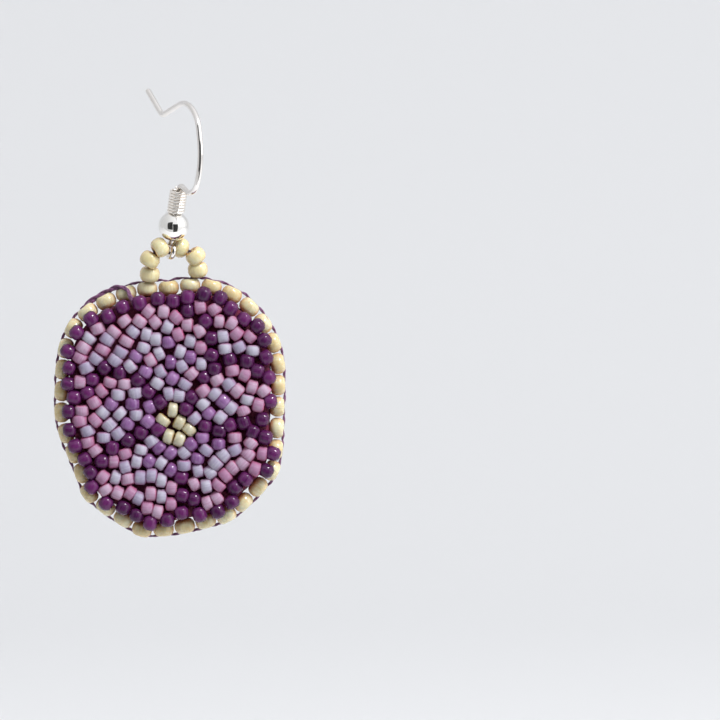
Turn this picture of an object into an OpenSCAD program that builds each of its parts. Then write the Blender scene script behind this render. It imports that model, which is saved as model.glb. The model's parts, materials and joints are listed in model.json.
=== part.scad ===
// Beaded earring: a bead-embroidered flower patch on a thread loop under a silver ear wire.
// Millimetres, +Z up, the patch faces -Y, and the origin is the spot under the low bend of the
// ear wire's rear leg, where the earring rests when it hangs.

/* [Ear wire] */
// Thickness of the ear wire
wire_d = 0.6; // [0.5:0.02:0.7]
// How far the ear wire leans forward in its own plane, in degrees
wire_lean = 17; // [8:1:20]
// How far the ear wire's plane is turned from square with the patch, in degrees
wire_turn = 30; // [15:1:35]
// Mean radius of the eye at the foot of the ear wire
eye_r = 0.72; // [0.7:0.01:0.8]

/* [Ball and coil] */
// Diameter of the ball above the eye
ball_d = 3.2; // [2.8:0.1:3.4]
// Bore through the ball
ball_bore = 0.76; // [0.74:0.01:0.9]
// Thickness of the coil's own wire
coil_wire_d = 0.28; // [0.2:0.01:0.3]
// Outside diameter of the coil
coil_d = 1.9; // [1.8:0.05:2.2]
// Number of turns in the coil
coil_turns = 8; // [7:1:10]
// Rise of the coil in one turn
coil_pitch = 0.305; // [0.3:0.005:0.32]

/* [Beads] */
// Diameter of the large cream beads
bead_d = 2.1; // [1.9:0.02:2.12]
// Length of a bead in the edge row, along its hole
edge_bead_l = 1.48; // [1.3:0.02:1.6]
// Length of a bead in the hanging loop, along its hole
loop_bead_l = 1.28; // [1.2:0.02:1.3]
// Diameter of the hole through a large bead
bead_hole = 0.88; // [0.8:0.02:0.9]
// Number of beads in the edge row
edge_count = 35; // [33:1:36]

/* [Patch] */
// Thickness of the backing that the beads are sewn to
backing_t = 1.6; // [1.2:0.1:1.8]
// Depth of the field of small beads in front of the backing
field_t = 1.5; // [1.2:0.1:1.8]
// Height of the middle of the patch below the hanging thread
patch_drop = 16.9; // [16.5:0.1:17.5]

/* [Thread] */
// Thickness of the doubled sewing thread
thread_d = 0.24; // [0.2:0.02:0.3]

/* [Hidden] */
$fn = 48;

// Small running gap between two pieces that touch on the real earring.
gap = 0.06;

// Stations along the stem of the ear wire, measured up from the middle of the eye.
ball_h = eye_r + wire_d / 2 + gap + ball_d / 2;
coil_r = (coil_d - coil_wire_d) / 2;
coil_h = ball_h + sqrt(pow(ball_d / 2 + coil_wire_d / 2, 2) - pow(coil_r, 2)) + gap / 2;
coil_top = coil_h + coil_turns * coil_pitch + coil_wire_d / 2;

// The bends of the ear wire, from the end of its eye to its tip. Columns: radius, turn in degrees
// (plus is anticlockwise with the wearer's front on the left), straight run after it. Rows: eye,
// neck of the eye with the stem, over the coil, foot of the bow, bow, crown, low bend with the tip.
BEND_R = 0;
BEND_TURN = 1;
BEND_RUN = 2;
neck_r = 0.4;
neck_h = sqrt(pow(eye_r + neck_r, 2) - pow(neck_r, 2));
neck_angle = atan2(neck_h, neck_r);
eye_end_angle = 138;
top_r = 0.6;
top_turn = 96;
stem_top = coil_top + gap + wire_d / 2 - top_r;
bends = [
    [eye_r, 360 + neck_angle - eye_end_angle, 0],
    [neck_r, -neck_angle, stem_top - neck_h],
    [top_r, top_turn, 1.05],
    [1.8, -86, 0],
    [7.0, -38, 1.0],
    [3.4, -96, 3.4],
    [1.1, 55, 3.5]
];
eye_start = [eye_r * cos(eye_end_angle), eye_r * sin(eye_end_angle), eye_end_angle + 90];

// A state of the wire is [along, up, heading in degrees], in the plane of the ear wire.
function turn_side(row) = row[BEND_TURN] > 0 ? 1 : -1;
function left_of(heading) = [-sin(heading), cos(heading)];
function bend_centre(s, row) = [s[0], s[1]] + turn_side(row) * row[BEND_R] * left_of(s[2]);
function bend_at(s, row, turn) =
    bend_centre(s, row) - turn_side(row) * row[BEND_R] * left_of(s[2] + turn);
function bend_end(s, row) = bend_at(s, row, row[BEND_TURN]);
function run_end(s, row) = let (p = bend_end(s, row), h = s[2] + row[BEND_TURN])
    [p[0] + row[BEND_RUN] * cos(h), p[1] + row[BEND_RUN] * sin(h), h];
states = [for (i = 0, s = eye_start; i < len(bends); s = run_end(s, bends[i]), i = i + 1)
    s];

// The seat is where the low bend runs level once the wire leans, at the underside of the wire.
low = len(bends) - 1;
low_turn = 360 - wire_lean - states[low][2];
seat_line = bend_at(states[low], bends[low], low_turn);
seat = seat_line + wire_d / 2 * [-sin(wire_lean), -cos(wire_lean)];

// A point of the ear wire's plane in the part's own frame.
function hung(p) =
    let (d = p - seat, back = d[0] * cos(wire_lean) - d[1] * sin(wire_lean),
        up = d[0] * sin(wire_lean) + d[1] * cos(wire_lean))
    [-back * sin(wire_turn), back * cos(wire_turn), up];

// The thread hangs in the bottom of the eye: this is where the patch swings.
thread_drop = eye_r - wire_d / 2 - thread_d / 2 - 0.02;
swing = hung([0, 0]) - [0, 0, thread_drop];

// Radius of the edge row's centre line round the middle of the patch, every 15 degrees from the
// right-hand side upwards.
rim_radii = [11.1, 11.6, 12.7, 13.5, 14.0, 13.9, 13.2, 13.4, 13.6, 13.7, 12.9, 11.8,
    11.5, 11.2, 11.1, 12.1, 12.0, 12.6, 12.1, 11.9, 12.2, 11.9, 12.1, 11.4];
rim_step = 360 / len(rim_radii);
function knot(i) = rim_radii[(i + 2 * len(rim_radii)) % len(rim_radii)];
function smooth(a, b, c, d, t) =
    b + t * (c - a + t * (2 * a - 5 * b + 4 * c - d + t * (3 * b - a - 3 * c + d))) / 2;
function rim_r(angle) = let (i = floor(angle / rim_step), t = angle / rim_step - i)
    smooth(knot(i - 1), knot(i), knot(i + 1), knot(i + 2), t);
function rim_at(angle) = rim_r(angle) * [cos(angle), sin(angle)] - [0, patch_drop];
function rim_out(angle) = let (d = rim_at(angle + 2) - rim_at(angle - 2)) [d[1], -d[0]] / norm(d);
function rim_inset(angle, inset) = rim_at(angle) - inset * rim_out(angle);

// Running length along the rim, so that the beads of the edge row are spaced evenly.
rim_samples = 180;
function sample_angle(i) = i * 360 / rim_samples;
rim_run = [for (i = 0, run = 0; i <= rim_samples;
    run = run + norm(rim_at(sample_angle(i + 1)) - rim_at(sample_angle(i))), i = i + 1)
    [run, sample_angle(i)]];
rim_length = rim_run[rim_samples][0];
// The row starts with a bead at the top, halfway between the feet of the loop.
first_run = lookup(91, [for (row = rim_run) [row[1], row[0]]]);
function edge_angle(i) = lookup((first_run + i * rim_length / edge_count) % rim_length, rim_run);

// The loop leans forward from its feet, so that the patch balances under the eye.
loop_lean = 17;
patch_back = -rim_at(91)[1] * tan(loop_lean);

// Loop beads from the left foot over the eye to the right foot, seen from the front, measured from
// the thread in the eye. Columns: across, up, slope of the hole, share of the ear wire's turn that
// the loop is twisted by there, step back. The eye stands square between the two top beads.
LOOP_X = 0;
LOOP_Z = 1;
LOOP_SLOPE = 2;
LOOP_TWIST = 3;
LOOP_BACK = 4;
loop_rows = [
    [-2.12, -2.35, 85, 0.2, 0],
    [-2.16, -0.70, 60, 0.6, 0],
    [-1.31, 0.64, 26, 1, 0],
    [1.22, 0.55, -18, 1, 0.3],
    [2.58, -0.36, -51, 0.6, -0.68],
    [2.90, -1.86, -84, 0.2, 0]
];
function loop_twist(row) = wire_turn * row[LOOP_TWIST];
function loop_point(row, across, up) =
    let (t = loop_twist(row), y = row[LOOP_BACK] - up * sin(loop_lean), z = up * cos(loop_lean))
    [across * cos(t) - y * sin(t), across * sin(t) + y * cos(t), z];

// The thread runs out of one edge bead, through the loop and the eye, and into another edge bead.
// It is pulled towards the inner side of each hole, and lies level where it carries the eye.
thread_pull = 0.05;
eye_run = 0.18;
left_foot = edge_angle(1);
right_foot = edge_angle(edge_count - 1);
function foot_at(angle, inset) = let (p = rim_inset(angle, inset)) [p[0], patch_back, p[1]];
function in_hole(row, along) =
    loop_point(row,
        row[LOOP_X] + along * cos(row[LOOP_SLOPE]) + thread_pull * sin(row[LOOP_SLOPE]),
        row[LOOP_Z] + along * sin(row[LOOP_SLOPE]) - thread_pull * cos(row[LOOP_SLOPE]));
function in_eye(along) = [along * cos(wire_turn), along * sin(wire_turn), 0];
function through(row) = [for (side = [-1, 1]) in_hole(row, side * (loop_bead_l / 2 + 0.1))];
thread_knots = concat(
    [foot_at(left_foot, edge_bead_l / 2), foot_at(left_foot, -edge_bead_l / 2)],
    through(loop_rows[0]), through(loop_rows[1]), through(loop_rows[2]),
    [in_eye(-eye_run), in_eye(eye_run)],
    through(loop_rows[3]), through(loop_rows[4]), through(loop_rows[5]),
    [foot_at(right_foot, -edge_bead_l / 2), foot_at(right_foot, edge_bead_l / 2)]);
thread_last = len(thread_knots) - 1;
// Each corner of the thread is eased by two points instead of one.
thread_line = concat(
    [thread_knots[0]],
    [for (i = [0:thread_last - 1], t = [0.15, 0.85])
        thread_knots[i] * (1 - t) + thread_knots[i + 1] * t],
    [thread_knots[thread_last]]);

// Faces of a stack of rings that each have the same number of points, closed at both ends.
function stack_faces(rings, sides) = concat(
    [[for (k = [0:sides - 1]) k]],
    [for (i = [0:rings - 2], k = [0:sides - 1]) let (n = (k + 1) % sides)
        [i * sides + k, (i + 1) * sides + k, (i + 1) * sides + n]],
    [for (i = [0:rings - 2], k = [0:sides - 1]) let (n = (k + 1) % sides)
        [i * sides + k, (i + 1) * sides + n, i * sides + n]],
    [[for (k = [sides - 1:-1:0]) (rings - 1) * sides + k]]);

module stack(rings) {
    points = [for (ring = rings) each ring];
    polyhedron(points, stack_faces(len(rings), len(rings[0])), convexity = 8);
}

// One ring of a round tube at point i of a line, square with the line there.
function tube_ring(line, i, radius, sides) =
    let (d = line[min(i + 1, len(line) - 1)] - line[max(i - 1, 0)],
        t = d / norm(d), s = cross(t, [0, 1, 0]), side = s / norm(s), up = cross(side, t))
    [for (k = [0:sides - 1]) line[i] + radius * (cos(k * 360 / sides) * side + sin(k * 360 / sides) * up)];

module in_hook_frame() {
    rotate([0, 0, 90 + wire_turn]) rotate([0, -wire_lean, 0]) translate([-seat[0], 0, -seat[1]])
        rotate([90, 0, 0]) children();
}

module in_drop_frame() {
    translate(swing) children();
}

// Stations of the ear wire, as [along, up, heading, radius]; its tip is rounded.
bend_step = 14;
function bend_line(s, row) = let (n = ceil(abs(row[BEND_TURN]) / bend_step))
    [for (k = [1:n]) let (p = bend_at(s, row, k * row[BEND_TURN] / n))
        [p[0], p[1], s[2] + k * row[BEND_TURN] / n, wire_d / 2]];
function wire_end(s, ahead, radius) =
    [s[0] + ahead * cos(s[2]), s[1] + ahead * sin(s[2]), s[2], radius];
wire_tip = run_end(states[low], bends[low]);
wire_line = concat(
    [wire_end(eye_start, 0, wire_d / 2)],
    [for (i = [0:low]) each concat(bend_line(states[i], bends[i]),
        bends[i][BEND_RUN] > 0 ? [wire_end(run_end(states[i], bends[i]), 0, wire_d / 2)] : [])],
    [wire_end(wire_tip, wire_d * 0.25, wire_d * 0.42), wire_end(wire_tip, wire_d * 0.42, wire_d * 0.2)]);

module ear_hook() {
    sides = 12;
    rings = [for (s = wire_line) [for (k = [0:sides - 1]) let (a = k * 360 / sides)
        [s[0] - s[3] * cos(a) * sin(s[2]), s[1] + s[3] * cos(a) * cos(s[2]), s[3] * sin(a)]]];
    color("silver") in_hook_frame() stack(rings);
}

// The coil is a finer wire wound round the stem, on top of the ball.
module hook_coil() {
    sides = 6;
    per_turn = 16;
    stations = coil_turns * per_turn;
    rings = [for (i = [0:stations]) let (a = i * 360 / per_turn, h = coil_h + i * coil_pitch / per_turn)
        [for (k = [sides - 1:-1:0]) let (r = coil_r + coil_wire_d / 2 * cos(k * 360 / sides))
            [r * cos(a), h + coil_wire_d / 2 * sin(k * 360 / sides), -r * sin(a)]]];
    color("silver") in_hook_frame() stack(rings);
}

module hook_ball() {
    color("silver") in_hook_frame() translate([0, ball_h, 0]) rotate([90, 0, 0]) difference() {
        sphere(d = ball_d, $fn = 64);
        cylinder(d = ball_bore, h = 2 * ball_d, center = true);
    }
}

// A round-shouldered glass bead with its hole along Z.
module large_bead(length) {
    shoulder = 0.55 * length;
    rotate_extrude() intersection() {
        translate([bead_d / 2 - shoulder, 0]) circle(r = shoulder);
        translate([bead_hole / 2, -length / 2]) square([bead_d / 2, length]);
    }
}

module loop_bead(i) {
    row = loop_rows[i - 1];
    color("palegoldenrod") in_drop_frame() rotate([0, 0, loop_twist(row)])
        translate([0, row[LOOP_BACK], 0]) rotate([loop_lean, 0, 0])
        translate([row[LOOP_X], 0, row[LOOP_Z]]) rotate([0, 90 - row[LOOP_SLOPE], 0])
        large_bead(loop_bead_l);
}

module loop_thread() {
    color([0.42, 0.25, 0.43]) in_drop_frame()
        stack([for (i = [0:len(thread_line) - 1]) tube_ring(thread_line, i, thread_d / 2, 8)]);
}

// The edge row is sewn on with each hole pointing out from the patch.
module edge_beads() {
    color("palegoldenrod") in_drop_frame() for (i = [0:edge_count - 1]) {
        angle = edge_angle(i);
        p = rim_at(angle);
        out = rim_out(angle);
        translate([p[0], patch_back, p[1]]) rotate([0, atan2(out[0], out[1]), 0])
            large_bead(edge_bead_l);
    }
}

rim_sides = 72;
function patch_ring(inset, y) =
    [for (k = [0:rim_sides - 1]) let (p = rim_inset(k * 360 / rim_sides, inset)) [p[0], y, p[1]]];

// The field is the outer form of the small beads sewn side by side: rounded at its rim, where the
// outermost beads lean out over the edge row. Columns: distance in from the edge row, depth.
module bead_field() {
    back = -backing_t / 2 - gap;
    front = back - field_t;
    lean_out = -bead_d / 2 - gap;
    steps = [[1.0, back], [1.0, lean_out - 0.1], [0.65, lean_out - 0.2], [0.55, front + 0.7],
        [0.65, front + 0.35], [0.9, front + 0.1], [1.4, front]];
    color("orchid") in_drop_frame() translate([0, patch_back, 0])
        stack([for (s = steps) patch_ring(s[0], s[1])]);
}

module backing() {
    outline = [for (k = [0:rim_sides - 1]) rim_inset(k * 360 / rim_sides, edge_bead_l / 2 + 0.1)];
    color([0.35, 0.16, 0.27]) in_drop_frame() translate([0, patch_back + backing_t / 2, 0])
        rotate([90, 0, 0]) linear_extrude(backing_t) polygon(outline);
}

ear_hook();
hook_coil();
hook_ball();
loop_bead(1);  // loop_bead_1
loop_bead(2);  // loop_bead_2
loop_bead(3);  // loop_bead_3
loop_bead(4);  // loop_bead_4
loop_bead(5);  // loop_bead_5
loop_bead(6);  // loop_bead_6
loop_thread();
edge_beads();
bead_field();
backing();
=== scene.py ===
# %% [markdown]
# # A beaded earring
# A flower of glass beads, sewn to a felt patch, hangs by a loop of beads from a silver ear wire.
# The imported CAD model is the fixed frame: it says where every solid is. This notebook dresses it.
# Each step first says what the piece is on the real object, how it could be made, and why this way.

# %% Load the frame
import json
import math
import random

import bmesh
import bpy
from mathutils import Matrix, Vector


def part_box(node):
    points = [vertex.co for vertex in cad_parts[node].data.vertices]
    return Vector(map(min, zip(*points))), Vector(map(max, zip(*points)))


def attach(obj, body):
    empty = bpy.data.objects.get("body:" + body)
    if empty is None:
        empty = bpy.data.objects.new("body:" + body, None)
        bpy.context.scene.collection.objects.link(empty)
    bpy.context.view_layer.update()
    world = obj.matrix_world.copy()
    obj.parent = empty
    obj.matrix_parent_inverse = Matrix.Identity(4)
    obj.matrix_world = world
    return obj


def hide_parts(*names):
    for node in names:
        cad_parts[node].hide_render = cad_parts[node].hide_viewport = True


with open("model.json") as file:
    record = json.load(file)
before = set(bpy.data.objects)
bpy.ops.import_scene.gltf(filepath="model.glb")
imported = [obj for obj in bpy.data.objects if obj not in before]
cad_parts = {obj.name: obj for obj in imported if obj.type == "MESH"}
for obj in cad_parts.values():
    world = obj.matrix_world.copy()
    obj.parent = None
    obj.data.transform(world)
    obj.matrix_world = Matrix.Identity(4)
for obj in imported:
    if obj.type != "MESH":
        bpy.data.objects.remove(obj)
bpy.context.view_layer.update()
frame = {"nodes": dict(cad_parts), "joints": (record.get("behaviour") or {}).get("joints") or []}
MM = 0.001
NODE = frame["nodes"]
joint = frame["joints"][0]
swing = Vector(joint["pos_m"])
wire_turn = math.atan2(joint["axis"][1], joint["axis"][0])

# %% [markdown]
# ## The camera
# The earring is seen from straight in front and a little above, from about half a metre away. A long
# lens keeps the flower flat, as in a product photograph. The aim lies beside the earring, because it
# hangs left of the middle of the picture.

# %% Camera
aim = swing + Vector((19.82, 0.0, -11.21)) * MM
rise = math.radians(4)
distance = 450 * MM
camera_data = bpy.data.cameras.new("camera")
camera_data.lens = 214.9
camera_data.sensor_width = 36
camera_data.clip_start = 0.01
camera = bpy.data.objects.new("camera", camera_data)
camera.location = aim + distance * Vector((0, -math.cos(rise), math.sin(rise)))
camera.rotation_euler = (math.pi / 2 - rise, 0, 0)
bpy.context.scene.collection.objects.link(camera)
bpy.context.scene.camera = camera
print("camera at", [round(c, 3) for c in camera.location])


# %% [markdown]
# ## Helpers for node trees
# Node trees are easier to read as a list of steps than as a picture. One small helper adds a node,
# sets its plain values and links its inputs, and a few more name the nodes that come back often. They
# serve materials and geometry alike. Where several sockets share a name, a number picks the right one.

# %% Node helpers
def add_node(tree, kind, inputs=None, **settings):
    node = tree.nodes.new(kind)
    for name, value in settings.items():
        setattr(node, name, value)
    for key, value in (inputs or {}).items():
        socket = node.inputs[key]
        if isinstance(value, bpy.types.NodeSocket):
            tree.links.new(value, socket)
        else:
            socket.default_value = value
    return node


def math_node(tree, operation, a, b=0.0):
    return add_node(tree, "ShaderNodeMath", {0: a, 1: b}, operation=operation).outputs[0]


def join_xyz(tree, x=0.0, y=0.0, z=0.0):
    return add_node(tree, "ShaderNodeCombineXYZ", {"X": x, "Y": y, "Z": z}).outputs[0]


def split_xyz(tree, vector):
    return add_node(tree, "ShaderNodeSeparateXYZ", {0: vector}).outputs


def group_sockets(tree, ins, outs):
    for name, kind, default in ins:
        socket = tree.interface.new_socket(name, in_out="INPUT", socket_type=kind)
        if default is not None:
            socket.default_value = default
    for name, kind in outs:
        tree.interface.new_socket(name, in_out="OUTPUT", socket_type=kind)


def input_names(tree):
    return [item.name for item in tree.interface.items_tree if item.in_out == "INPUT"]


print("node helpers ready")


# %% [markdown]
# ## What all glass beads share
# Glass beads of one colour still differ a little: each comes from another stretch of drawn cane, which
# leaves fine streaks along the hole. Glass also lets some light through, and beads shade each other, so
# a bead's ends, and its sides where they turn to other beads and thread, look deeper and warmer than
# its front; that shade and glow are painted into the colour here. Each bead carries three values for
# this, made with its shape: `tone`, one random number a bead, `local`, the place on the bead, and
# `front`, how squarely the surface faces the front or the back. A shader node group turns them into a
# colour with painted shade and a fine unevenness.

# %% Shader helpers and the sockets of the glass group
def noise(tree, place, scale, detail, distortion=0.0):
    values = {"Vector": place, "Scale": scale, "Detail": detail, "Distortion": distortion}
    return add_node(tree, "ShaderNodeTexNoise", values).outputs["Fac"]


def mix_colour(tree, share, first, second):
    return add_node(tree, "ShaderNodeMix", {0: share, 6: first, 7: second}, data_type="RGBA").outputs[2]


def smooth_step(tree, value, low, high, to_low, to_high):
    values = {"Value": value, "From Min": low, "From Max": high, "To Min": to_low, "To Max": to_high}
    return add_node(tree, "ShaderNodeMapRange", values, interpolation_type="SMOOTHSTEP").outputs["Result"]


def own_value(tree, name, output="Fac"):
    return add_node(tree, "ShaderNodeAttribute", attribute_name=name).outputs[output]


glass_group = bpy.data.node_groups.new("bead glass", "ShaderNodeTree")
group_sockets(
    glass_group,
    [
        ("Light", "NodeSocketColor", (1, 1, 1, 1)),
        ("Deep", "NodeSocketColor", (0.5, 0.5, 0.5, 1)),
        ("End", "NodeSocketColor", (0.2, 0.1, 0.05, 1)),
        ("End shade reach", "NodeSocketFloat", 0.3),
        ("Outer share", "NodeSocketFloat", 1.0),
        ("Side shade depth", "NodeSocketFloat", 0.6),
        ("Streaks", "NodeSocketFloat", 0.2),
    ],
    [("Color", "NodeSocketColor"), ("Height", "NodeSocketFloat")],
)
g_in = add_node(glass_group, "NodeGroupInput").outputs
g_out = add_node(glass_group, "NodeGroupOutput").inputs


def glass_math(operation, a, b=0.0):
    return math_node(glass_group, operation, a, b)


print("glass group takes", input_names(glass_group))

# %% [markdown]
# The streaks are a noise that changes only across the bead, so it runs along the hole. The tone picks
# another stretch of it for each bead. A second, cloudy noise runs through the whole piece. Both push
# the bead's own tone up and down between its light and its deep colour.

# %% Streaks and clouds
streaks_across = 9.0
stretch_of_cane = 60.0
tone = own_value(glass_group, "tone")
spot = split_xyz(glass_group, own_value(glass_group, "local", "Vector"))
cane = join_xyz(
    glass_group,
    glass_math("MULTIPLY", spot["X"], streaks_across),
    glass_math("MULTIPLY", spot["Y"], streaks_across),
    glass_math("MULTIPLY", tone, stretch_of_cane),
)
streak = noise(glass_group, cane, 1.0, 2.0)
place = add_node(glass_group, "ShaderNodeTexCoord").outputs["Object"]
cloud = noise(glass_group, place, 1300.0, 3.0)
uneven = glass_math("SUBTRACT", glass_math("ADD", streak, cloud), 1.0)
blend = glass_math("ADD", tone, glass_math("MULTIPLY", uneven, g_in["Streaks"]))
blend.node.use_clamp = True
body = mix_colour(glass_group, blend, g_in["Light"], g_in["Deep"])
print("streaks and clouds in", len(glass_group.nodes), "nodes")

# %% [markdown]
# The painted shade, deep and warm as if light glowed through the glass, covers the ends as far as the
# end reach says, and the sides as deep as the side depth says. A rim bead stands with its outer end in
# the open light, so `Outer share` says how much of that painted shade the end has: with less than 1,
# its outer end and the sides next to it stay clear.

# %% Painted shade on ends and sides
# painted shade and glow: the ends and the turned-away sides are mixed towards the End colour
inner_end = glass_math("MULTIPLY", spot["Z"], -1.0)
outer_end = glass_math("MULTIPLY", spot["Z"], g_in["Outer share"])
near_end = glass_math("MAXIMUM", inner_end, outer_end)
ragged_end = glass_math("ADD", near_end, glass_math("MULTIPLY", uneven, 0.2))
shade_from = glass_math("SUBTRACT", 1.0, g_in["End shade reach"])
end_shade_mask = smooth_step(glass_group, ragged_end, shade_from, 1.05, 0.0, 1.0)
clear_end = glass_math("MULTIPLY", spot["Z"], glass_math("SUBTRACT", 1.0, g_in["Outer share"]))
open_side = glass_math("MAXIMUM", own_value(glass_group, "front"), clear_end)
side_shade_mask = smooth_step(glass_group, open_side, 0.85, 0.05, 0.0, g_in["Side shade depth"])
painted_shade_mask = glass_math("MAXIMUM", end_shade_mask, side_shade_mask)
glass_group.links.new(mix_colour(glass_group, painted_shade_mask, body, g_in["End"]), g_out["Color"])
glass_group.links.new(streak, g_out["Height"])
print("glass group with", len(glass_group.nodes), "nodes")


# %% [markdown]
# ## Bead finishes
# Three kinds of glass are sewn here. The rose and lavender beads are frosted, so light spreads softly
# over them. The deep purple and violet ones are plain opaque glass with a sharp glint. The cream ones
# lie between: slightly clouded, with an ochre tint at their ends that is partly the thread showing
# through and partly painted shade. The seven finishes share one recipe and differ in their colours and
# numbers. The third colour of each is the painted shade and glow on the bead's ends and sides.

# %% Glass materials
def linear(hex_colour):
    values = [int(hex_colour[i:i + 2], 16) / 255 for i in (0, 2, 4)]
    return tuple(v / 12.92 if v < 0.04045 else ((v + 0.055) / 1.055) ** 2.4 for v in values) + (1.0,)


def new_material(name):
    material = bpy.data.materials.new(name)
    material.use_nodes = True
    return material, material.node_tree, material.node_tree.nodes["Principled BSDF"]


def surface(tree, shader, colour, height, strength, depth):
    """links a colour, and a bump of this depth in metres, to the shader"""
    bump = add_node(tree, "ShaderNodeBump", {"Height": height, "Strength": strength, "Distance": depth})
    tree.links.new(colour, shader.inputs["Base Color"])
    tree.links.new(bump.outputs["Normal"], shader.inputs["Normal"])


def bead_glass(name, colours, reach, side, roughness, gloss, coat=0.0, cloudy=0.0, outer=1.0):
    """colours: light glass, deep glass and the painted shade of ends and sides; reach, side and outer: how
    far that painted shade goes
    """
    material, tree, shader = new_material(name)
    light, deep, painted_shade_tint = [linear(colour) for colour in colours]
    values = {
        "Light": light,
        "Deep": deep,
        "End": painted_shade_tint,
        "End shade reach": reach,
        "Outer share": outer,
        "Side shade depth": side,
        "Streaks": 2.0,
    }
    glass = add_node(tree, "ShaderNodeGroup", values, node_tree=glass_group)
    surface(tree, shader, glass.outputs["Color"], glass.outputs["Height"], 0.2, 0.02 * MM)
    shader.inputs["Roughness"].default_value = roughness
    shader.inputs["Specular IOR Level"].default_value = gloss
    shader.inputs["Coat Weight"].default_value = coat
    shader.inputs["Coat Roughness"].default_value = 0.08
    shader.inputs["Subsurface Weight"].default_value = cloudy
    shader.inputs["Subsurface Radius"].default_value = (1.0, 0.7, 0.4)
    shader.inputs["Subsurface Scale"].default_value = 0.4 * MM
    return material


# the third colour of each finish is painted shade and glow for the bead's ends and sides
rose_glass = bead_glass(
    "rose frosted glass", ("B29AB0", "A07494", "A83A68"),
    reach=0.22, side=0.72, roughness=0.5, gloss=0.2,
)
lavender_glass = bead_glass(
    "lavender frosted glass", ("B0ADBC", "988FA8", "9A4E80"),
    reach=0.22, side=0.72, roughness=0.5, gloss=0.2,
)
purple_glass = bead_glass(
    "deep purple glass", ("62285E", "421A42", "440C38"),
    reach=0.2, side=0.7, roughness=0.1, gloss=0.12, coat=0.36,
)
violet_glass = bead_glass(
    "violet glass", ("906A9A", "744C7E", "74305E"),
    reach=0.2, side=0.6, roughness=0.12, gloss=0.2, coat=0.42,
)
# the rim's cream glass is darker than the loop's, partly the thread showing through and partly painted
# shade; its inner ends carry the painted shade, its outer ends stay in the open light
rim_glass_shade_and_thread = bead_glass(
    "cream glass", ("D8D2B0", "CCBA8C", "C87A42"),
    reach=0.85, side=0.6, roughness=0.2, gloss=0.45, coat=0.4, cloudy=0.4, outer=0.1,
)
loop_glass = bead_glass(
    "pale cream glass", ("E2DCB6", "D8CC9C", "CE9650"),
    reach=0.2, side=0.42, roughness=0.2, gloss=0.5, coat=0.4, cloudy=0.4,
)
heart_glass = bead_glass(
    "pale centre glass", ("C2BEA8", "B6B096", "B4925A"),
    reach=0.3, side=0.5, roughness=0.25, gloss=0.4, coat=0.3, cloudy=0.3,
)
print("seven glass finishes")


# %% [markdown]
# ## Beads by Geometry Nodes
# A glass bead is a short tube with rounded walls. A modelled bead could be copied by hand, but a ring
# swept by a rounded profile makes every size from a few numbers, and an instance on each point of a
# chart sews them all. One tree serves the small face beads and the large edge beads.

# %% Geometry helpers and the sockets of the bead tree
def geometry_tree(name, ins):
    tree = bpy.data.node_groups.new(name, "GeometryNodeTree")
    tree.interface.new_socket("Geometry", in_out="INPUT", socket_type="NodeSocketGeometry")
    group_sockets(tree, ins, [("Geometry", "NodeSocketGeometry")])
    return tree, add_node(tree, "NodeGroupInput").outputs, add_node(tree, "NodeGroupOutput").inputs


def circle(tree, points, radius):
    values = {"Resolution": points, "Radius": radius}
    return add_node(tree, "GeometryNodeCurvePrimitiveCircle", values).outputs["Curve"]


def place_field(tree):
    return split_xyz(tree, add_node(tree, "GeometryNodeInputPosition").outputs[0])


def moved(tree, geometry, place):
    return add_node(tree, "GeometryNodeSetPosition", {"Geometry": geometry, "Position": place}).outputs[0]


def store(tree, geometry, name, value, kind="FLOAT", domain="POINT"):
    values = {"Geometry": geometry, "Name": name, "Value": value}
    node = add_node(tree, "GeometryNodeStoreNamedAttribute", values, data_type=kind, domain=domain)
    return node.outputs["Geometry"]


def stored(tree, name, kind):
    node = add_node(tree, "GeometryNodeInputNamedAttribute", {"Name": name}, data_type=kind)
    return node.outputs["Attribute"]


bead_tree, b_in, b_out = geometry_tree(
    "sew beads",
    [
        ("Diameter", "NodeSocketFloat", 1.5 * MM),
        ("Length", "NodeSocketFloat", 1.1 * MM),
        ("Hole", "NodeSocketFloat", 0.5 * MM),
        ("Roundness", "NodeSocketFloat", 0.6),
        ("Bulge", "NodeSocketFloat", 0.2),
        ("Sides", "NodeSocketInt", 16),
        ("Profile points", "NodeSocketInt", 8),
        ("Seed", "NodeSocketInt", 1),
        ("Finish", "NodeSocketMaterial", None),
    ],
)


def bead_math(operation, a, b=0.0):
    return math_node(bead_tree, operation, a, b)


print("bead tree takes", input_names(bead_tree))


# %% [markdown]
# The profile is a circle whose coordinates are raised to the power `Roundness`: 1 leaves it round, and
# less makes it a box with rounded corners. It is stretched to the wall and the length of the bead.

# %% Profile and ring
def signed_power(value, power):
    size = bead_math("POWER", bead_math("ABSOLUTE", value), power)
    return bead_math("MULTIPLY", bead_math("SIGN", value), size)


mid_radius = bead_math("MULTIPLY", bead_math("ADD", b_in["Diameter"], b_in["Hole"]), 0.25)
half_wall = bead_math("MULTIPLY", bead_math("SUBTRACT", b_in["Diameter"], b_in["Hole"]), 0.25)
half_length = bead_math("MULTIPLY", b_in["Length"], 0.5)
half_step = bead_math("DIVIDE", math.pi, b_in["Profile points"])
turned_circle = add_node(
    bead_tree, "GeometryNodeTransform",
    {
        "Geometry": circle(bead_tree, b_in["Profile points"], 1.0),
        "Rotation": join_xyz(bead_tree, z=half_step),
    },
)
on_circle = place_field(bead_tree)
in_wall = bead_math("MULTIPLY", signed_power(on_circle["X"], b_in["Roundness"]), half_wall)
up_wall = bead_math("MULTIPLY", signed_power(on_circle["Y"], b_in["Roundness"]), half_length)
profile = moved(bead_tree, turned_circle.outputs["Geometry"], join_xyz(bead_tree, in_wall, up_wall))
ring = circle(bead_tree, b_in["Sides"], mid_radius)
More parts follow.
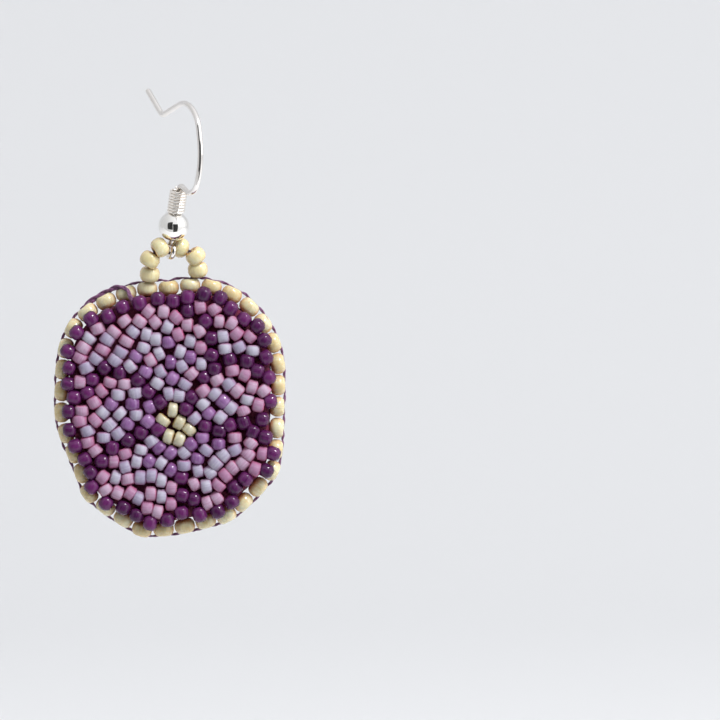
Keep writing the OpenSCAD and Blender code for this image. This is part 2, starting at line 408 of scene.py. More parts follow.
bead = add_node(bead_tree, "GeometryNodeCurveToMesh", {"Curve": ring, "Profile Curve": profile})
print("a bead is", len(bead_tree.nodes), "nodes so far")

# %% [markdown]
# `Bulge` draws the tube in towards its ends, as if it were part of a ball. Then each point of the
# bead notes its own place, `local`, as a share of the bead's size, from -1 to 1.

# %% Belly and place on the bead
on_bead = place_field(bead_tree)
along = bead_math("DIVIDE", on_bead["Z"], half_length)
drawn_in = bead_math("MULTIPLY", bead_math("MULTIPLY", along, along), b_in["Bulge"])
belly = bead_math("SQRT", bead_math("SUBTRACT", 1.0, drawn_in))
bellied_x = bead_math("MULTIPLY", on_bead["X"], belly)
bellied_y = bead_math("MULTIPLY", on_bead["Y"], belly)
bellied = moved(bead_tree, bead.outputs[0], join_xyz(bead_tree, bellied_x, bellied_y, on_bead["Z"]))
radius = bead_math("MULTIPLY", b_in["Diameter"], 0.5)
shares = join_xyz(
    bead_tree,
    bead_math("DIVIDE", on_bead["X"], radius),
    bead_math("DIVIDE", on_bead["Y"], radius),
    along,
)
marked = store(bead_tree, bellied, "local", shares, kind="FLOAT_VECTOR")
print("a bead is", len(bead_tree.nodes), "nodes now")


# %% [markdown]
# The points of a chart carry how each bead lies, `lie`, and how far it is scaled, `size`. The tree puts
# a bead on each, gives it its `tone`, makes the instances real, and notes on each corner how squarely
# it faces the front or the back.

# %% Sew the beads
def finished(tree, geometry, finish):
    smooth = add_node(tree, "GeometryNodeSetShadeSmooth", {"Geometry": geometry}).outputs[0]
    return add_node(tree, "GeometryNodeSetMaterial", {"Geometry": smooth, "Material": finish}).outputs[0]


lie = add_node(bead_tree, "FunctionNodeEulerToRotation", {0: stored(bead_tree, "lie", "FLOAT_VECTOR")})
sewn = add_node(
    bead_tree, "GeometryNodeInstanceOnPoints",
    {
        "Points": b_in["Geometry"],
        "Instance": marked,
        "Rotation": lie.outputs[0],
        "Scale": stored(bead_tree, "size", "FLOAT_VECTOR"),
    },
)
any_tone = add_node(bead_tree, "FunctionNodeRandomValue", {2: 0.0, 3: 1.0, "Seed": b_in["Seed"]}).outputs[1]
toned = store(bead_tree, sewn.outputs["Instances"], "tone", any_tone, domain="INSTANCE")
real = add_node(bead_tree, "GeometryNodeRealizeInstances", {0: toned}).outputs[0]
# `front` tells the glass where to paint shade on the bead's sides
facing = split_xyz(bead_tree, add_node(bead_tree, "GeometryNodeInputNormal").outputs[0])["Y"]
fronted = store(bead_tree, real, "front", bead_math("ABSOLUTE", facing))
bead_tree.links.new(finished(bead_tree, fronted, b_in["Finish"]), b_out["Geometry"])
print("bead tree with", len(bead_tree.nodes), "nodes")


# %% [markdown]
# ## From tree to plain mesh
# Each tree is baked to a plain mesh. The export wants plain meshes. A tree is put on a source
# object, its inputs are set by their socket identifiers, the evaluated result becomes a mesh of
# its own, and the source goes away.

# %% Bake a tree
def grow(name, source_mesh, tree, values):
    source = bpy.data.objects.new(name + "_source", source_mesh)
    bpy.context.scene.collection.objects.link(source)
    modifier = source.modifiers.new("nodes", "NODES")
    modifier.node_group = tree
    for item in tree.interface.items_tree:
        if item.item_type == "SOCKET" and item.in_out == "INPUT" and item.name in values:
            modifier[item.identifier] = values[item.name]
    grown = source.evaluated_get(bpy.context.evaluated_depsgraph_get())
    mesh = bpy.data.meshes.new_from_object(grown)
    mesh.name = name
    mesh.materials.clear()
    mesh.materials.append(values["Finish"])
    mesh.polygons.foreach_set("material_index", [0] * len(mesh.polygons))
    piece = bpy.data.objects.new(name, mesh)
    bpy.context.scene.collection.objects.link(piece)
    bpy.data.objects.remove(source)
    print(name, "has", len(mesh.polygons), "faces")
    return piece


def bead_points(name, rows):
    """rows: place in metres, direction of the hole, and how far width and length are scaled"""
    mesh = bpy.data.meshes.new(name + "_points")
    mesh.from_pydata([row[0] for row in rows], [], [])
    mesh.attributes.new("lie", "FLOAT_VECTOR", "POINT")
    mesh.attributes.new("size", "FLOAT_VECTOR", "POINT")
    for i, (_, hole, width, length) in enumerate(rows):
        mesh.attributes["lie"].data[i].vector = Vector(hole).to_track_quat("Z", "Y").to_euler()
        mesh.attributes["size"].data[i].vector = (width, width, length)
    return mesh


# %% [markdown]
# ## The large beads of the rim
# Thirty-five cream beads stand round the patch like spokes: the edging stitch leaves each hole pointing
# outwards. Their places are read from the solids, so that both models agree: each island of joined
# points is one bead. The two neighbours of a bead give the direction of its hole.

# %% Read the places of the rim beads
def loose_centres(node):
    weld = 0.002 * MM
    rough = bmesh.new()
    rough.from_mesh(NODE[node].data)
    bmesh.ops.remove_doubles(rough, verts=rough.verts, dist=weld)
    rough.verts.ensure_lookup_table()
    seen = set()
    centres = []
    for start in rough.verts:
        if start.index in seen:
            continue
        island = []
        queue = [start]
        seen.add(start.index)
        while queue:
            vertex = queue.pop()
            island.append(vertex.co.copy())
            for edge in vertex.link_edges:
                other = edge.other_vert(vertex)
                if other.index not in seen:
                    seen.add(other.index)
                    queue.append(other)
        low = Vector([min(p[k] for p in island) for k in range(3)])
        high = Vector([max(p[k] for p in island) for k in range(3)])
        centres.append((low + high) / 2)
    rough.free()
    return centres


rim = loose_centres("edge_beads")
middle = sum(rim, Vector()) / len(rim)
rim.sort(key=lambda p: math.atan2(p.z - middle.z, p.x - middle.x))
print(len(rim), "rim beads, patch middle", [round(c / MM, 2) for c in middle])


# %% [markdown]
# Handwork shows in small faults: each bead tips a little on its thread, and no two are quite the same
# size. The seed keeps this the same in every run. The last three calls make the beads with their finish,
# hang them on the body that carries them, and hide the solid that they stand for.

# %% Rim beads
def rim_outward(i):
    tangent = rim[(i + 1) % len(rim)] - rim[i - 1]
    return Vector((tangent.z, 0, -tangent.x)).normalized()


rng = random.Random(7)
rim_rows = []
for i, centre in enumerate(rim):
    tip = Vector((rng.uniform(-0.05, 0.05), rng.uniform(-0.06, 0.06), rng.uniform(-0.05, 0.05)))
    width_share = rng.uniform(0.97, 1.0)
    rim_rows.append((centre, rim_outward(i) + tip, width_share, rng.uniform(0.95, 1.0)))
large = {"Hole": 0.6 * MM, "Roundness": 0.8, "Bulge": 0.3, "Sides": 28, "Profile points": 14}
rim_shape = {**large, "Diameter": 2.24 * MM, "Length": 1.56 * MM, "Seed": 3, "Finish": rim_glass_shade_and_thread}
rim_beads = grow("rim_beads", bead_points("rim", rim_rows), bead_tree, rim_shape)
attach(rim_beads, "drop")
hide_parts("edge_beads")

# %% [markdown]
# ## The hanging loop
# Six more cream beads make the loop. Each is a node of its own in the frame, so its place is the
# middle of that node's box, and only the direction of its hole is written here: its slope in degrees
# as seen from the front, and its share of the ear wire's turn. The holes lean forward a little, as the
# loop does on its way up, and the beads nearest to the eye turn furthest with the wire.

# %% Loop beads
loop_lean = math.radians(6)
loop_rows = [(85, 0.1), (60, 0.3), (30, 0.6), (-22, 0.6), (-51, 0.3), (-84, 0.1)]
loop_points = []
for i, (slope_degrees, turn_share) in enumerate(loop_rows):
    low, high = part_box(f"loop_bead_{i + 1}")
    slope = math.radians(slope_degrees)
    lean = Matrix.Rotation(loop_lean, 3, "X")
    twist = Matrix.Rotation(wire_turn * turn_share, 3, "Z")
    hole = twist @ lean @ Vector((math.cos(slope), 0, math.sin(slope)))
    loop_points.append(((Vector(low) + Vector(high)) / 2, hole, 1.0, 1.0))
loop_shape = {**large, "Diameter": 2.14 * MM, "Length": 1.54 * MM, "Seed": 5, "Finish": loop_glass}
loop_beads = grow("loop_beads", bead_points("loop", loop_points), bead_tree, loop_shape)
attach(loop_beads, "drop")
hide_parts(*[f"loop_bead_{i + 1}" for i in range(6)])

# %% [markdown]
# ## The flower
# The face is sewn with small beads, one by one: frosted rose and lavender petals with violet veins, a
# cream heart, and deep purple between. No formula gives such handwork, so it is written as a beading
# chart, one list a colour. Each entry is across, up and the angle of the hole, in tenths of a
# millimetre from the middle of the patch and in degrees.

# %% The beading chart
CHART = {
    "deep_purple": (
        "-13 121 96, 18 123 82, 35 126 75, 52 122 67, -50 113 114, -32 117 105, 3 119 88, 18 109 90, "
        "63 111 60, -83 100 130, -65 103 122, 37 98 40, 77 100 52, 91 93 46, -98 86 139, 43 80 175, "
        "98 78 39, -107 66 148, -69 49 135, 43 62 160, 62 58 105, 80 56 85, 100 60 31, -106 49 156, "
        "-82 37 85, -53 44 85, -34 36 40, 35 39 130, 46 48 80, 91 46 178, 103 39 20, -107 32 163, "
        "-87 23 120, -23 24 150, -101 18 170, -11 13 30, 22 18 40, 104 14 8, -107 3 178, 16 6 70, "
        "96 -5 177, -106 -16 8, -31 -19 70, -13 -15 30, 36 -12 85, 51 -17 170, 62 -11 25, 76 -8 110, "
        "86 -18 70, -100 -33 18, -61 -35 90, -45 -27 150, 99 -24 166, -90 -47 28, -72 -49 178, "
        "107 -41 159, -84 -61 36, 100 -59 150, -83 -76 43, 11 -66 175, 67 -77 130, 78 -68 50, "
        "12 -85 175, 24 -89 175, -68 -93 54, -50 -98 63, 11 -103 96, 49 -102 116, 64 -92 126, "
        "-36 -106 72, -22 -114 79, -4 -111 87, 30 -105 106"
    ),
    "violet": (
        "-2 76 90, -36 61 60, 0 55 178, 21 60 178, -26 45 60, 2 38 150, -62 11 70, -40 11 90, "
        "-22 8 30, 55 14 140, 40 1 135, -45 -10 65, -24 -7 135, 21 -31 40, 33 -24 90, 50 -31 90, "
        "-12 -35 130, 0 -40 140, 28 -46 80, -23 -49 135, 0 -58 150"
    ),
    "rose": (
        "-23 108 140, -7 108 175, 31 113 12, 46 110 122, -48 98 129, -32 98 55, -16 97 36, 6 102 45, "
        "18 94 178, 51 98 175, 64 96 150, -76 90 108, -59 87 50, 8 84 15, 30 88 25, 69 85 135, "
        "83 82 45, -91 70 60, -71 68 60, -46 77 60, 32 70 178, -95 60 60, -21 57 30, 22 43 131, "
        "49 36 120, 65 46 98, 78 42 155, -95 34 175, -72 25 40, -63 34 75, -48 32 90, 34 25 130, "
        "70 25 140, 85 29 165, 97 25 130, -80 13 115, 92 10 170, -93 4 95, -79 -6 45, 76 4 115, "
        "-95 -7 98, -87 -29 105, 67 -24 90, 84 -30 52, -79 -38 125, -48 -41 110, 81 -42 50, "
        "96 -41 170, -60 -49 178, 65 -56 45, 75 -51 45, 88 -57 160, -71 -66 140, -45 -68 100, "
        "1 -77 175, 24 -73 30, 50 -74 50, 57 -64 40, -68 -79 125, -56 -82 160, -43 -82 145, "
        "-21 -83 178, 48 -88 40, -25 -98 175, -14 -102 165, 0 -94 175, 38 -93 20"
    ),
    "lavender": (
        "-3 92 160, -85 80 52, -66 79 55, -39 87 50, -25 84 170, -15 79 178, 55 82 10, -52 66 60, "
        "-28 70 70, -12 64 22, 10 66 165, 21 77 175, 57 69 95, 72 71 118, 86 67 90, -78 59 52, "
        "-58 57 52, -42 51 40, 12 51 25, 32 53 178, -88 49 115, -10 45 28, -55 21 85, -37 23 100, "
        "-14 33 55, -2 22 10, 15 32 55, 46 22 140, 61 32 125, 9 20 175, 34 11 135, 63 7 140, "
        "80 16 80, -71 2 50, -53 1 135, -36 0 90, 25 -4 135, 52 -3 140, -87 -17 110, -64 -11 130, "
        "-55 -20 120, -70 -24 90, -20 -28 125, -31 -37 75, 14 -40 40, 37 -37 55, 55 -43 50, "
        "67 -37 120, -48 -55 15, -36 -49 165, -10 -51 150, 14 -53 90, 28 -59 15, 41 -61 35, "
        "47 -51 50, -58 -66 165, -32 -66 178, -20 -64 175, -10 -69 175, 37 -75 15, -34 -88 155, "
        "-10 -86 175"
    ),
    "cream_heart": "-8 -6 50, 2 5 172, 9 -8 155, 19 -16 51, -2 -23 163, 9 -26 160",
}
print({colour: rows.count(",") + 1 for colour, rows in CHART.items()})

# %% [markdown]
# The chart becomes points. Each bead sinks or rises a little and tips out of the plane of the patch,
# as beads do that are pulled down by thread. The deep purple and violet beads are longer and rounder
# than the others, with one more point in their profile for that. All lie on the front of the felt, so
# their middles are half a bead in front of it.

# %% Face beads
patch_drop = 16.9
felt_front = 0.86
field_half = 0.75
patch_middle = Vector((swing.x, middle.y, swing.z - patch_drop * MM))
face_y = middle.y - (felt_front + field_half) * MM


def small_bead(glass, width_mm, length_mm, roundness, bulge, profile_points):
    return {
        "Diameter": width_mm * MM,
        "Length": length_mm * MM,
        "Hole": 0.45 * MM,
        "Roundness": roundness,
        "Bulge": bulge,
        "Sides": 10,
        "Profile points": profile_points,
        "Seed": 9,
        "Finish": glass,
    }


face_kinds = {
    "deep_purple": small_bead(purple_glass, 1.72, 1.54, 0.8, 0.45, 7),
    "violet": small_bead(violet_glass, 1.7, 1.38, 0.75, 0.35, 7),
    "rose": small_bead(rose_glass, 1.64, 1.26, 0.55, 0.1, 6),
    "lavender": small_bead(lavender_glass, 1.64, 1.26, 0.55, 0.1, 6),
    "cream_heart": small_bead(heart_glass, 1.72, 1.2, 0.6, 0.1, 6),
}
rng = random.Random(11)
for colour, rows in CHART.items():
    points = []
    for entry in rows.split(","):
        across, up, turn = (float(word) for word in entry.split())
        angle = math.radians(turn + rng.uniform(-3, 3))
        depth = rng.uniform(-0.06, 0.1) * MM
        hole = Vector((math.cos(angle), rng.uniform(-0.16, 0.16), math.sin(angle)))
        centre_x = patch_middle.x + across * 0.1 * MM
        centre_z = patch_middle.z + up * 0.1 * MM
        width_share = rng.uniform(0.96, 1.03)
        centre = Vector((centre_x, face_y + depth, centre_z))
        points.append((centre, hole, width_share, rng.uniform(0.88, 1.05)))
    piece = grow(f"beads_{colour}", bead_points(colour, points), bead_tree, face_kinds[colour])
    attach(piece, "drop")
    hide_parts("bead_field")

# %% [markdown]
# ## Anything bent from a line
# The ear wire, the coil and the stitches are all a line with a thickness. A curve with a bevel could
# give the shape. This tree sweeps a round section along a chain of points instead, as thick as their
# `thick` says, because it can also keep two numbers for the materials: `run`, the distance along the
# line, and `round`, the way round it.

# %% Strand tree
strand_tree, s_in, s_out = geometry_tree(
    "strand",
    [("Sides", "NodeSocketInt", 12), ("Finish", "NodeSocketMaterial", None)],
)
chain = add_node(strand_tree, "GeometryNodeMeshToCurve", {"Mesh": s_in["Geometry"]}).outputs[0]
spline = add_node(strand_tree, "GeometryNodeSplineParameter").outputs
section = circle(strand_tree, s_in["Sides"], 1.0)
swept = add_node(
    strand_tree, "GeometryNodeCurveToMesh",
    {
        "Curve": store(strand_tree, chain, "run", spline["Length"]),
        "Profile Curve": store(strand_tree, section, "round", spline["Factor"]),
        "Scale": stored(strand_tree, "thick", "FLOAT"),
        "Fill Caps": True,
    },
)
strand_real = add_node(strand_tree, "GeometryNodeRealizeInstances", {0: swept.outputs[0]}).outputs[0]
strand_tree.links.new(finished(strand_tree, strand_real, s_in["Finish"]), s_out["Geometry"])


def strand_points(name, lines):
    """lines: lists of (place, radius)"""
    places = []
    edges = []
    radii = []
    for line in lines:
        first = len(places)
        places += [p for p, _ in line]
        radii += [r for _, r in line]
        edges += [(first + k, first + k + 1) for k in range(len(line) - 1)]
    mesh = bpy.data.meshes.new(name + "_line")
    mesh.from_pydata(places, edges, [])
    thick_data = mesh.attributes.new("thick", "FLOAT", "POINT").data
    for i, thickness in enumerate(radii):
        thick_data[i].value = thickness
    return mesh


print("strand tree with", len(strand_tree.nodes), "nodes")


# %% [markdown]
# ## Silver
# Polished silver is almost a mirror, so its look is what it reflects, broken by fine rubbing marks. A
# plain mirror would look like new chrome. Two noises turn the normal a little and shift the roughness
# and the tint in soft patches.

# %% Silver materials
def silver(name, light, dark, roughness, rub):
    material, tree, shader = new_material(name)
    place_now = add_node(tree, "ShaderNodeTexCoord").outputs["Object"]
    patches = noise(tree, place_now, 700.0, 4.0)
    marks = noise(tree, place_now, 9000.0, 2.0)
    rough_range = {"Value": patches, "To Min": roughness * 0.6, "To Max": roughness * 1.5}
    rough = add_node(tree, "ShaderNodeMapRange", rough_range)
    tree.links.new(rough.outputs["Result"], shader.inputs["Roughness"])
    surface(tree, shader, mix_colour(tree, patches, linear(light), linear(dark)), marks, rub, 0.005 * MM)
    shader.inputs["Metallic"].default_value = 1.0
    return material


wire_silver = silver("polished silver wire", "FAF8F6", "E8E2DC", 0.1, 0.12)
coil_silver = silver("silver coil", "FFFCF8", "F6EEE4", 0.22, 0.12)
ball_silver = silver("silver ball", "FBFAF8", "F0EDE8", 0.05, 0.06)
print("three silver finishes")

# %% [markdown]
# ## The ear wire
# A jeweller bends this wire in one piece: the eye, the stem, a turn over the coil, the bow, the crown,
# the low bend and the rear leg. The frame holds it with few sides, so it is swept again here from the
# same bends, with finer steps that let the light run smoothly along it. Each bend is a radius, a turn
# in degrees and the straight run after it, and a turtle walks them all, from the wire's end on the eye
# to its tip. Lengths are in millimetres from the middle of the eye.

# %% Bends of the ear wire
wire_r = 0.3
gap = 0.06
ball_r = 1.6
coil_wire_r = 0.14
coil_wide = 1.9
coil_r = (coil_wide - 2 * coil_wire_r) / 2
coil_turns = 8
coil_pitch = 0.305
eye_r = 0.72
neck_r = 0.4
top_r = 0.6
low_r = 1.1
neck_h = math.sqrt((eye_r + neck_r) ** 2 - neck_r ** 2)
neck_angle = math.degrees(math.atan2(neck_h, neck_r))
eye_end = 138
ball_h = eye_r + wire_r + gap + ball_r
coil_h = ball_h + math.sqrt((ball_r + coil_wire_r) ** 2 - coil_r ** 2) + gap / 2
stem_top = coil_h + coil_turns * coil_pitch + coil_wire_r + gap + wire_r - top_r
bends = [
    (eye_r, 360 + neck_angle - eye_end, 0),  # the eye
    (neck_r, -neck_angle, stem_top - neck_h),  # the neck and the stem
    (top_r, 96, 1.05),  # the turn over the coil
    (1.8, -86, 0),  # the foot of the bow
    (7.0, -38, 1.0),  # the bow
    (3.4, -96, 3.4),  # the crown
    (low_r, 55, 3.5),  # the low bend and the rear leg
]


def turtle(bend_rows, start, heading, step=5.0):
    """walks the bends from a start point and returns (along, up, heading) at every step"""
    x, y = start
    path = [(x, y, heading)]
    for bend_r, turn, run in bend_rows:
        side = 1 if turn > 0 else -1
        centre_x = x - side * bend_r * math.sin(math.radians(heading))
        centre_y = y + side * bend_r * math.cos(math.radians(heading))
        count = math.ceil(abs(turn) / step)
        for k in range(1, count + 1):
            h = math.radians(heading + turn * k / count)
            x = centre_x + side * bend_r * math.sin(h)
            y = centre_y - side * bend_r * math.cos(h)
            path.append((x, y, math.degrees(h)))
        heading = path[-1][2]
        if run:
            x += run * math.cos(math.radians(heading))
            y += run * math.sin(math.radians(heading))
            path.append((x, y, heading))
    return path


eye_rad = math.radians(eye_end)
eye_start = (eye_r * math.cos(eye_rad), eye_r * math.sin(eye_rad))
wire_path = turtle(bends, eye_start, eye_end + 90)
print("the wire is bent in", len(bends), "bends and", len(wire_path), "steps")

# %% [markdown]
# The frame's origin is the underside of the low bend, where the wire rests when it hangs. There the
# leaned wire runs level, so the bends are walked once more up to that heading. From the origin, every
# point of the wire's own plane is leaned and turned into the frame.

# %% Hang the wire in the frame
lean_degrees = 17
wire_lean = math.radians(lean_degrees)
before_low = turtle(bends[:-1], eye_start, eye_end + 90)[-1]
low_turn = 360 - lean_degrees - before_low[2]
seat_line = turtle([(low_r, low_turn, 0)], before_low[:2], before_low[2])[-1]
seat = Vector((seat_line[0] - wire_r * math.sin(wire_lean), seat_line[1] - wire_r * math.cos(wire_lean)))


def hung(along_now, up_now, side_now=0.0):
    """a point of the ear wire's plane, or beside it, in the frame"""
    dx = along_now - seat.x
    dy = up_now - seat.y
    back = dx * math.cos(wire_lean) - dy * math.sin(wire_lean)
    rise_now = dx * math.sin(wire_lean) + dy * math.cos(wire_lean)
    c = math.cos(wire_turn)
    s = math.sin(wire_turn)
    return Vector((-back * s + side_now * c, back * c + side_now * s, rise_now)) * MM


tip_taper = [(0.12, 0.92), (0.2, 0.72), (0.26, 0.35)]
wire_line = [(hung(x, y), wire_r * MM) for x, y, _ in wire_path]
tip_x, tip_y, tip_h = wire_path[-1]
for ahead, narrow in tip_taper:
    h = math.radians(tip_h)
    tip_place = hung(tip_x + ahead * math.cos(h), tip_y + ahead * math.sin(h))
    wire_line.append((tip_place, wire_r * narrow * MM))
wire_shape = {"Sides": 20, "Finish": wire_silver}
ear_wire = grow("ear_wire_silver", strand_points("ear_wire", [wire_line]), strand_tree, wire_shape)
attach(ear_wire, "ear_wire")
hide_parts("ear_hook")
print("the wire's tip is at", [round(c / MM, 2) for c in tip_place])

# %% [markdown]
# ## The coil
# A thinner wire is wound eight times round the stem above the ball. Eight rings could stand for it, but
# then the wire wouldn't climb. A helix is a line too, so the same tree sweeps it.

# %% Coil
points_a_turn = 28
coil_line = []
for k in range(coil_turns * points_a_turn + 1):
    a = 2 * math.pi * k / points_a_turn
    up = coil_h + coil_pitch * k / points_a_turn
    coil_line.append((hung(coil_r * math.cos(a), up, -coil_r * math.sin(a)), coil_wire_r * MM))
coil_shape = {"Sides": 10, "Finish": coil_silver}
coil = grow("coil_silver", strand_points("coil", [coil_line]), strand_tree, coil_shape)
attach(coil, "ear_wire")
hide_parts("hook_coil")


# %% [markdown]
# ## Thread
# Sewing thread is spun from fibres, which leaves ridges and furrows that wind round it; the ridges
# catch the light and the furrows lie in shade. To model each fibre would take millions of faces. Instead
# the material paints that light and shade along such a spiral, with a bump, from the two numbers that
# the strand tree keeps, so it follows the thread round every bend.

# %% Thread material
def thread_material(name, light, dark, twist_mm):
    material, tree, shader = new_material(name)
    run_turns = math_node(tree, "MULTIPLY", own_value(tree, "run"), 1000.0 / twist_mm)
    way_turns = math_node(tree, "MULTIPLY", own_value(tree, "round"), 2.0)
    half_turns = math_node(tree, "MULTIPLY", math_node(tree, "ADD", run_turns, way_turns), math.pi)
    # painted light and shade: lit ridges and shaded furrows, also used as the bump's height
    ridges_and_painted_shade = math_node(tree, "ABSOLUTE", math_node(tree, "SINE", half_turns))
    surface(tree, shader, mix_colour(tree, ridges_and_painted_shade, linear(dark), linear(light)), ridges_and_painted_shade, 0.6, 0.03 * MM)
    shader.inputs["Roughness"].default_value = 0.6
    shader.inputs["Sheen Weight"].default_value = 0.3
    return material


# light colour: the lit ridges, dark colour: the shaded furrows, both painted
purple_thread = thread_material("purple thread", "824A7A", "3C1838", 0.5)
print("thread material:", purple_thread.name)


# %% [markdown]
# A stitch is written as a few knots. A smooth curve through them gives its line, and two strands wind
# round that line, because the work is sewn with doubled thread.

# %% Doubled thread
def eased(knots, per_span):
    """a smooth line through the knots, per_span points for each span"""
    line = []
    last = len(knots) - 1
    for k in range(last):
        p0 = knots[max(k - 1, 0)]
        p1 = knots[k]
        p2 = knots[k + 1]
        p3 = knots[min(k + 2, last)]
        for n in range(per_span):
            t = n / per_span
            first = (p2 - p0) * t
            second = (2 * p0 - 5 * p1 + 4 * p2 - p3) * t ** 2
            third = (3 * p1 - p0 - 3 * p2 + p3) * t ** 3
            line.append(0.5 * (2 * p1 + first + second + third))
    return line + [knots[-1].copy()]


def doubled(knots, radius_mm, apart_mm, turns, start_turn):
    """two strands twisted round each other along the knots"""
    line = eased(knots, 4)
    last = len(line) - 1
    strands = []
    for side in (0, math.pi):
        strand = []
        for k, p in enumerate(line):
            ahead = (line[min(k + 1, last)] - line[max(k - 1, 0)]).normalized()
            across = ahead.cross(Vector((0, 1, 0))).normalized()
            a = side + 2 * math.pi * (start_turn + turns * k / last)
            aside = math.cos(a) * across + math.sin(a) * ahead.cross(across)
            strand.append((p + aside * apart_mm * MM, radius_mm * MM))
        strands.append(strand)
    return strands


sample = doubled([Vector((0, 0, 0)), Vector((0, 0, MM))], 0.1, 0.1, 1, 0)
print("a stitch of two knots has", len(sample), "strands of", len(sample[0]), "points")

# %% [markdown]
# ## Edging stitches
# The thread leaves each rim bead at its outer end and enters the next, so a row of small arches lies
# round the edge. At the top of the patch they lie loose over the beads. At the sides and below they
# are pulled in between the beads and a little to the back, and show only in the gaps: `tucked` goes
# from 0 to 1 for that. An inner row of stitches holds the beads to the felt. All lengths are in
# millimetres from the line of bead centres.

# %% Rows of stitches round the rim
hole_depth = 0.3
rng = random.Random(21)
stitches = []
for i in range(len(rim)):
    j = (i + 1) % len(rim)
    out_i = rim_outward(i) * MM
    out_j = rim_outward(j) * MM
    out = (out_i + out_j) / 2
    tucked = min(1.0, 2 - 2 * out.z / MM)
    lean_now = Vector((0, (0.2 * tucked + rng.uniform(-0.25, 0.1)) * MM, 0))
    crest = 0.88 - 0.16 * tucked
    crest_now = crest + rng.uniform(-0.08, 0.08)
    mouth = 0.66 - 0.1 * tucked
    outer = [
        rim[i] + out_i * hole_depth,
        rim[i] + out_i * mouth,
        rim[i].lerp(rim[j], 0.3) + out * crest + lean_now,
        rim[i].lerp(rim[j], 0.5) + out * crest_now + lean_now,
        rim[i].lerp(rim[j], 0.7) + out * crest + lean_now,
        rim[j] + out_j * mouth,
        rim[j] + out_j * hole_depth,
    ]
    stitches += doubled(outer, 0.085, 0.065, 1.2, rng.random())
    inner = [
        rim[i] - out_i * hole_depth,
        rim[i] - out_i * 0.8,
        rim[i].lerp(rim[j], 0.5) - out * 0.86 + lean_now,
        rim[j] - out_j * 0.8,
        rim[j] - out_j * hole_depth,
    ]
    stitches += doubled(inner, 0.1, 0.08, 1.2, rng.random())
print(len(stitches), "strands in", len(rim), "outer and inner stitches")

# %% [markdown]
# At the upper left one stitch was pulled loose. It follows the rim, rises over it and goes down to the
# face, where it ends between the beads. Its knots are across, up and back from the middle of the patch,
# and a second pair of strands runs close beside the first.

# %% Loose stitch
stray = [
    (-9.4, 10.9, 0.3),
    (-8.9, 11.5, 0.1),
    (-8.0, 12.2, 0),
    (-7.1, 12.7, 0),
    (-6.3, 13.1, -0.3),
    (-5.5, 13.4, -0.7),
    (-4.75, 13.2, -1.15),
    (-4.35, 12.7, -1.5),
    (-4.1, 12.1, -1.75),
    (-3.8, 11.5, -1.3),
]
for beside in (0.0, 0.4):
    knots = []
    for across, up, back in stray:
        knots.append(patch_middle + Vector((across + beside * 0.35, back, up - beside * 0.3)) * MM)
    stitches += doubled(knots, 0.12, 0.1, 3.0, beside)
thread_shape = {"Sides": 8, "Finish": purple_thread}
edging = grow("edging_stitches", strand_points("edging", stitches), strand_tree, thread_shape)
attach(edging, "drop")


# %% [markdown]
# ## The parts that stay
# The ball, the thread through the loop and the felt are right as the frame has them. They only need a
# surface: silver for the ball, and matted fibres for the other two. Fine fibres and larger tufts are
# two noises added up. Their sum seldom leaves its middle, so that range is stretched before it picks
# the colour. The felt is the deep plum that shows between the beads.

# %% Materials for kept parts
def matted_fibres(name, light, dark):
    material, tree, shader = new_material(name)
    place_now = add_node(tree, "ShaderNodeTexCoord").outputs["Object"]
    fibres = noise(tree, place_now, 5200.0, 6.0, 1.4)
    tufts = noise(tree, place_now, 900.0, 3.0)
    both = math_node(tree, "MULTIPLY", math_node(tree, "ADD", fibres, tufts), 0.5)
    share_range = {"Value": both, "From Min": 0.36, "From Max": 0.64}
    share = add_node(tree, "ShaderNodeMapRange", share_range).outputs["Result"]
    surface(tree, shader, mix_colour(tree, share, linear(dark), linear(light)), both, 1.0, 0.6 * MM)
    shader.inputs["Roughness"].default_value = 0.95
    shader.inputs["Sheen Weight"].default_value = 0.4
    return material


def dress(node, material):
    mesh = NODE[node].data
    mesh.materials.clear()
    mesh.materials.append(material)


dress("hook_ball", ball_silver)
dress("backing", matted_fibres("plum felt", "A6305C", "6E1E44"))
dress("loop_thread", matted_fibres("loop thread fibres", "744674", "2E1230"))
print("ball, backing and loop thread dressed")

# %% [markdown]
# ## The set
# The earring hangs free in front of a pale sweep: a floor that curves up into a wall, so that no edge
# shows behind it. It stands far enough away that no shadow of the earring is seen on it.

# %% Sweep
half_width = 1.6
floor_z = -0.12
front_y = -0.11
curve_start = 0.5
curve_r = 0.5
curve_steps = 24
wall_top = 1.8
sweep_line = [(front_y, floor_z)]
for k in range(curve_steps + 1):
    a = math.pi / 2 * k / curve_steps
    sweep_line.append((curve_start + curve_r * math.sin(a), floor_z + curve_r * (1 - math.cos(a))))
sweep_line.append((curve_start + curve_r, wall_top))
places = [(x, y, z) for y, z in sweep_line for x in (-half_width, half_width)]
faces = [(2 * k, 2 * k + 1, 2 * k + 3, 2 * k + 2) for k in range(len(sweep_line) - 1)]
sweep_mesh = bpy.data.meshes.new("sweep")
sweep_mesh.from_pydata(places, [], faces)
sweep = bpy.data.objects.new("sweep", sweep_mesh)
bpy.context.scene.collection.objects.link(sweep)
for polygon in sweep_mesh.polygons:
    polygon.use_smooth = True
paper, paper_tree, paper_shader = new_material("pale paper")
paper_noise = add_node(paper_tree, "ShaderNodeTexNoise", {"Scale": 3.0}).outputs["Fac"]
paper_tint = mix_colour(paper_tree, paper_noise, (0.775, 0.779, 0.79, 1), (0.79, 0.794, 0.805, 1))
paper_tree.links.new(paper_tint, paper_shader.inputs["Base Color"])
paper_shader.inputs["Roughness"].default_value = 0.9
sweep_mesh.materials.append(paper)
print("sweep with", len(faces), "faces")


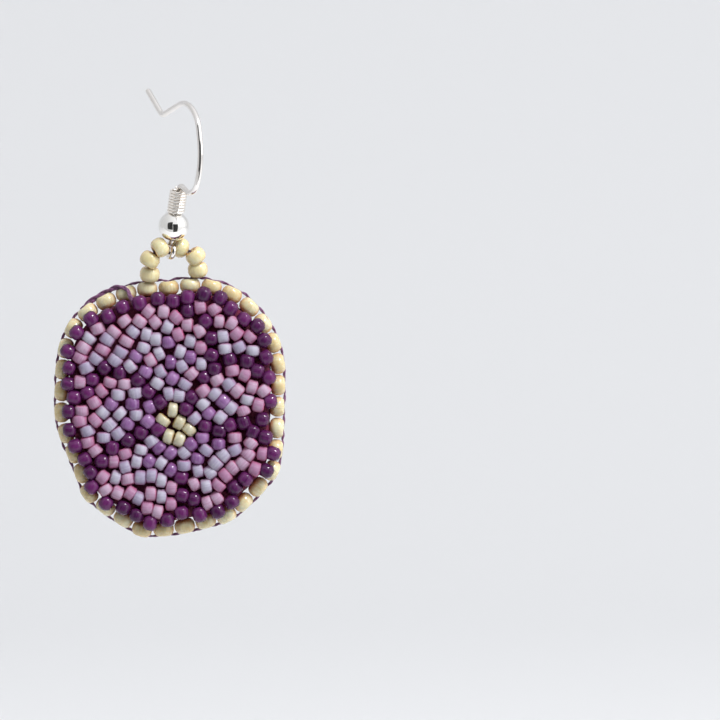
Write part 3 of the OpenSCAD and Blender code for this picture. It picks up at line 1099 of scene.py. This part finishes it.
# %% [markdown]
# One small soft light, high and to the right, gives the glints. A wide one further round lights the
# right side, and a pale world that is brighter to the right fills in the rest.

# %% Lights
def soft_light(name, from_middle, size_m, power):
    data = bpy.data.lights.new(name, "AREA")
    data.size = size_m
    data.energy = power
    light = bpy.data.objects.new(name, data)
    light.location = patch_middle + from_middle
    light.rotation_euler = (-from_middle).to_track_quat("-Z", "Y").to_euler()
    bpy.context.scene.collection.objects.link(light)


soft_light("window", Vector((0.26, -0.24, 0.4)), 0.12, 2.4)
soft_light("side", Vector((0.65, -0.3, 0.3)), 0.7, 1.6)
bright_side = (0.86, -0.25, 0.44)
world = bpy.data.worlds.new("studio")
world.use_nodes = True
sky = world.node_tree
sky_shader = sky.nodes["Background"]
heading_in = add_node(sky, "ShaderNodeTexCoord").outputs["Generated"]
towards = add_node(sky, "ShaderNodeVectorMath", {0: heading_in, 1: bright_side}, operation="DOT_PRODUCT")
bright = smooth_step(sky, towards.outputs["Value"], -0.7, 1.0, 0.68, 1.05)
sky_shader.inputs["Color"].default_value = (0.97, 0.98, 1.0, 1)
sky.links.new(bright, sky_shader.inputs["Strength"])
bpy.context.scene.world = world
bpy.context.scene.view_settings.view_transform = "Standard"
print("two lights and a pale world")

# %% [markdown]
# Silver shows what stands in front of it. The camera's side of the room is dark, so two cards covered
# with dark cloth stand behind the camera. They give the ball its dark heart and the wire its dark line.

# %% Dark cards behind the camera
card_y = camera.location.y - 0.2
card_cloth = matted_fibres("dark card", "121010", "080606")
card_rows = [("card_left", -0.67, -0.06, -0.33, 0.4), ("card_right", -0.03, 0.45, -0.64, 0.18)]
for name, left, right, low_z, high_z in card_rows:
    card_mesh = bpy.data.meshes.new(name)
    outline = [(left, low_z), (right, low_z), (right, high_z), (left, high_z)]
    card_mesh.from_pydata([(x, card_y, z) for x, z in outline], [], [(0, 1, 2, 3)])
    card_mesh.materials.append(card_cloth)
    card = bpy.data.objects.new(name, card_mesh)
    bpy.context.scene.collection.objects.link(card)
    card.visible_camera = False
print("two dark cards at y", round(card_y, 3))
